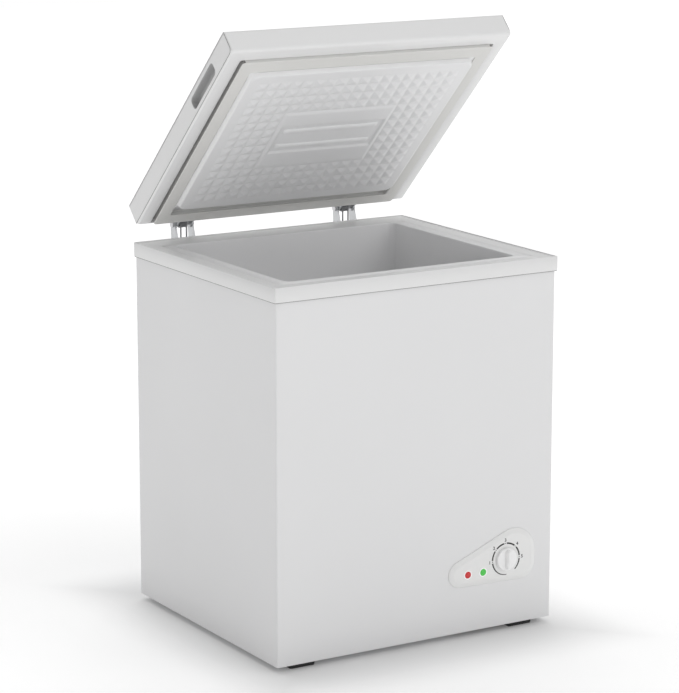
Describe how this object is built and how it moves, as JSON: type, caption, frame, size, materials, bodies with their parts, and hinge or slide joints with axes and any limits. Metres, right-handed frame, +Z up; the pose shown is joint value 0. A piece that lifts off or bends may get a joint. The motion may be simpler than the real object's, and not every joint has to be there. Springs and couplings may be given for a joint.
{
  "type": "chest freezer",
  "caption": "Compact chest freezer with a top lid that opens on rear hinges, a compressor step in the cavity and a dial with lamps low on the front.",
  "frame": {"origin": "centre of the whole object's footprint, on the floor", "axes": "+Z up, +Y towards the back where the hinges are, +X to the right as seen from the front"},
  "size_m": [0.63, 0.6144, 1.1842],
  "materials": {
    "panel_white": "satin",
    "back_zinc": "satin",
    "base_grey": "matte",
    "rim_white": "satin",
    "liner_white": "satin",
    "foam": "matte",
    "copper": "satin",
    "tube_aluminium": "satin",
    "tube_dark": "satin",
    "compressor_black": "satin",
    "motor_iron": "matte",
    "rubber_black": "matte",
    "steel": "satin",
    "plastic_black": "matte",
    "plastic_grey": "matte",
    "bezel_white": "gloss",
    "lens_red": "gloss",
    "lens_green": "gloss",
    "gasket_grey": "matte"
  },
  "bodies": {
    "cabinet": {"front_panel": "panel_white", "left_side_panel": "panel_white", "right_side_panel": "panel_white", "back_panel": "back_zinc", "base_pan": "back_zinc", "compressor_base_plate": "base_grey", "compartment_bulkhead": "back_zinc", "cabinet_insulation": "foam", "inner_liner": "liner_white", "rim_frame": "rim_white", "evaporator_coil": "tube_aluminium", "condenser_coil": "tube_dark", "suction_line": "copper", "discharge_line": "copper", "liquid_line": "copper", "filter_drier": "copper", "capillary_tube": "copper", "compressor_lower_shell": "compressor_black", "compressor_upper_shell": "compressor_black", "compressor_motor": "motor_iron", "compressor_suspension": "steel", "compressor_foot_plate": "compressor_black", "compressor_grommets": "rubber_black", "compressor_bolts": "steel", "terminal_cover": "plastic_black", "rear_grille": "plastic_grey", "rear_grille_screws": "steel", "side_vent_grille": "rim_white", "cord_gland": "rubber_black", "control_panel": "bezel_white", "thermostat_body": "plastic_grey", "power_lamp_lens": "lens_red", "run_lamp_lens": "lens_green", "lamp_holders": "plastic_black", "control_wiring": "rubber_black", "drain_tube": "liner_white", "feet": "plastic_black", "foot_screws": "steel", "hinge_bracket_left": "steel", "hinge_bracket_right": "steel", "hinge_pin_left": "steel", "hinge_pin_right": "steel", "hinge_spring_left": "steel", "hinge_spring_right": "steel", "hinge_bracket_screws": "steel"},
    "lid": {"hinge_leaf_left": "steel", "hinge_leaf_right": "steel", "hinge_leaf_screws": "steel", "lid_shell": "panel_white", "lid_frame": "rim_white", "lid_insulation": "foam", "lid_inner_panel": "liner_white", "lid_gasket": "gasket_grey", "handle_cup_left": "plastic_grey", "handle_cup_right": "plastic_grey"},
    "dial": {"thermostat_shaft": "steel", "control_knob": "bezel_white"},
    "drain_plug_body": {"drain_plug": "rubber_black"},
    "drain_cap_body": {"drain_cap": "rim_white"}
  },
  "joints": [
    {"name": "lid_hinge", "type": "hinge", "parent": "cabinet", "child": "lid", "pos_m": [0, 0.2982, 0.758], "axis": [-1, 0, 0], "range_deg": [-44, 33]},
    {"name": "dial_turn", "type": "hinge", "parent": "cabinet", "child": "dial", "pos_m": [0.201, -0.2878, 0.147], "axis": [0, -1, 0], "range_deg": [-140, 140]},
    {"name": "drain_plug_pull", "type": "slide", "parent": "cabinet", "child": "drain_plug_body", "axis": [0, 0, 1], "range_m": [0, 0.03]},
    {"name": "drain_cap_pull", "type": "slide", "parent": "cabinet", "child": "drain_cap_body", "axis": [0, 1, 0], "range_m": [0, 0.03]}
  ]
}
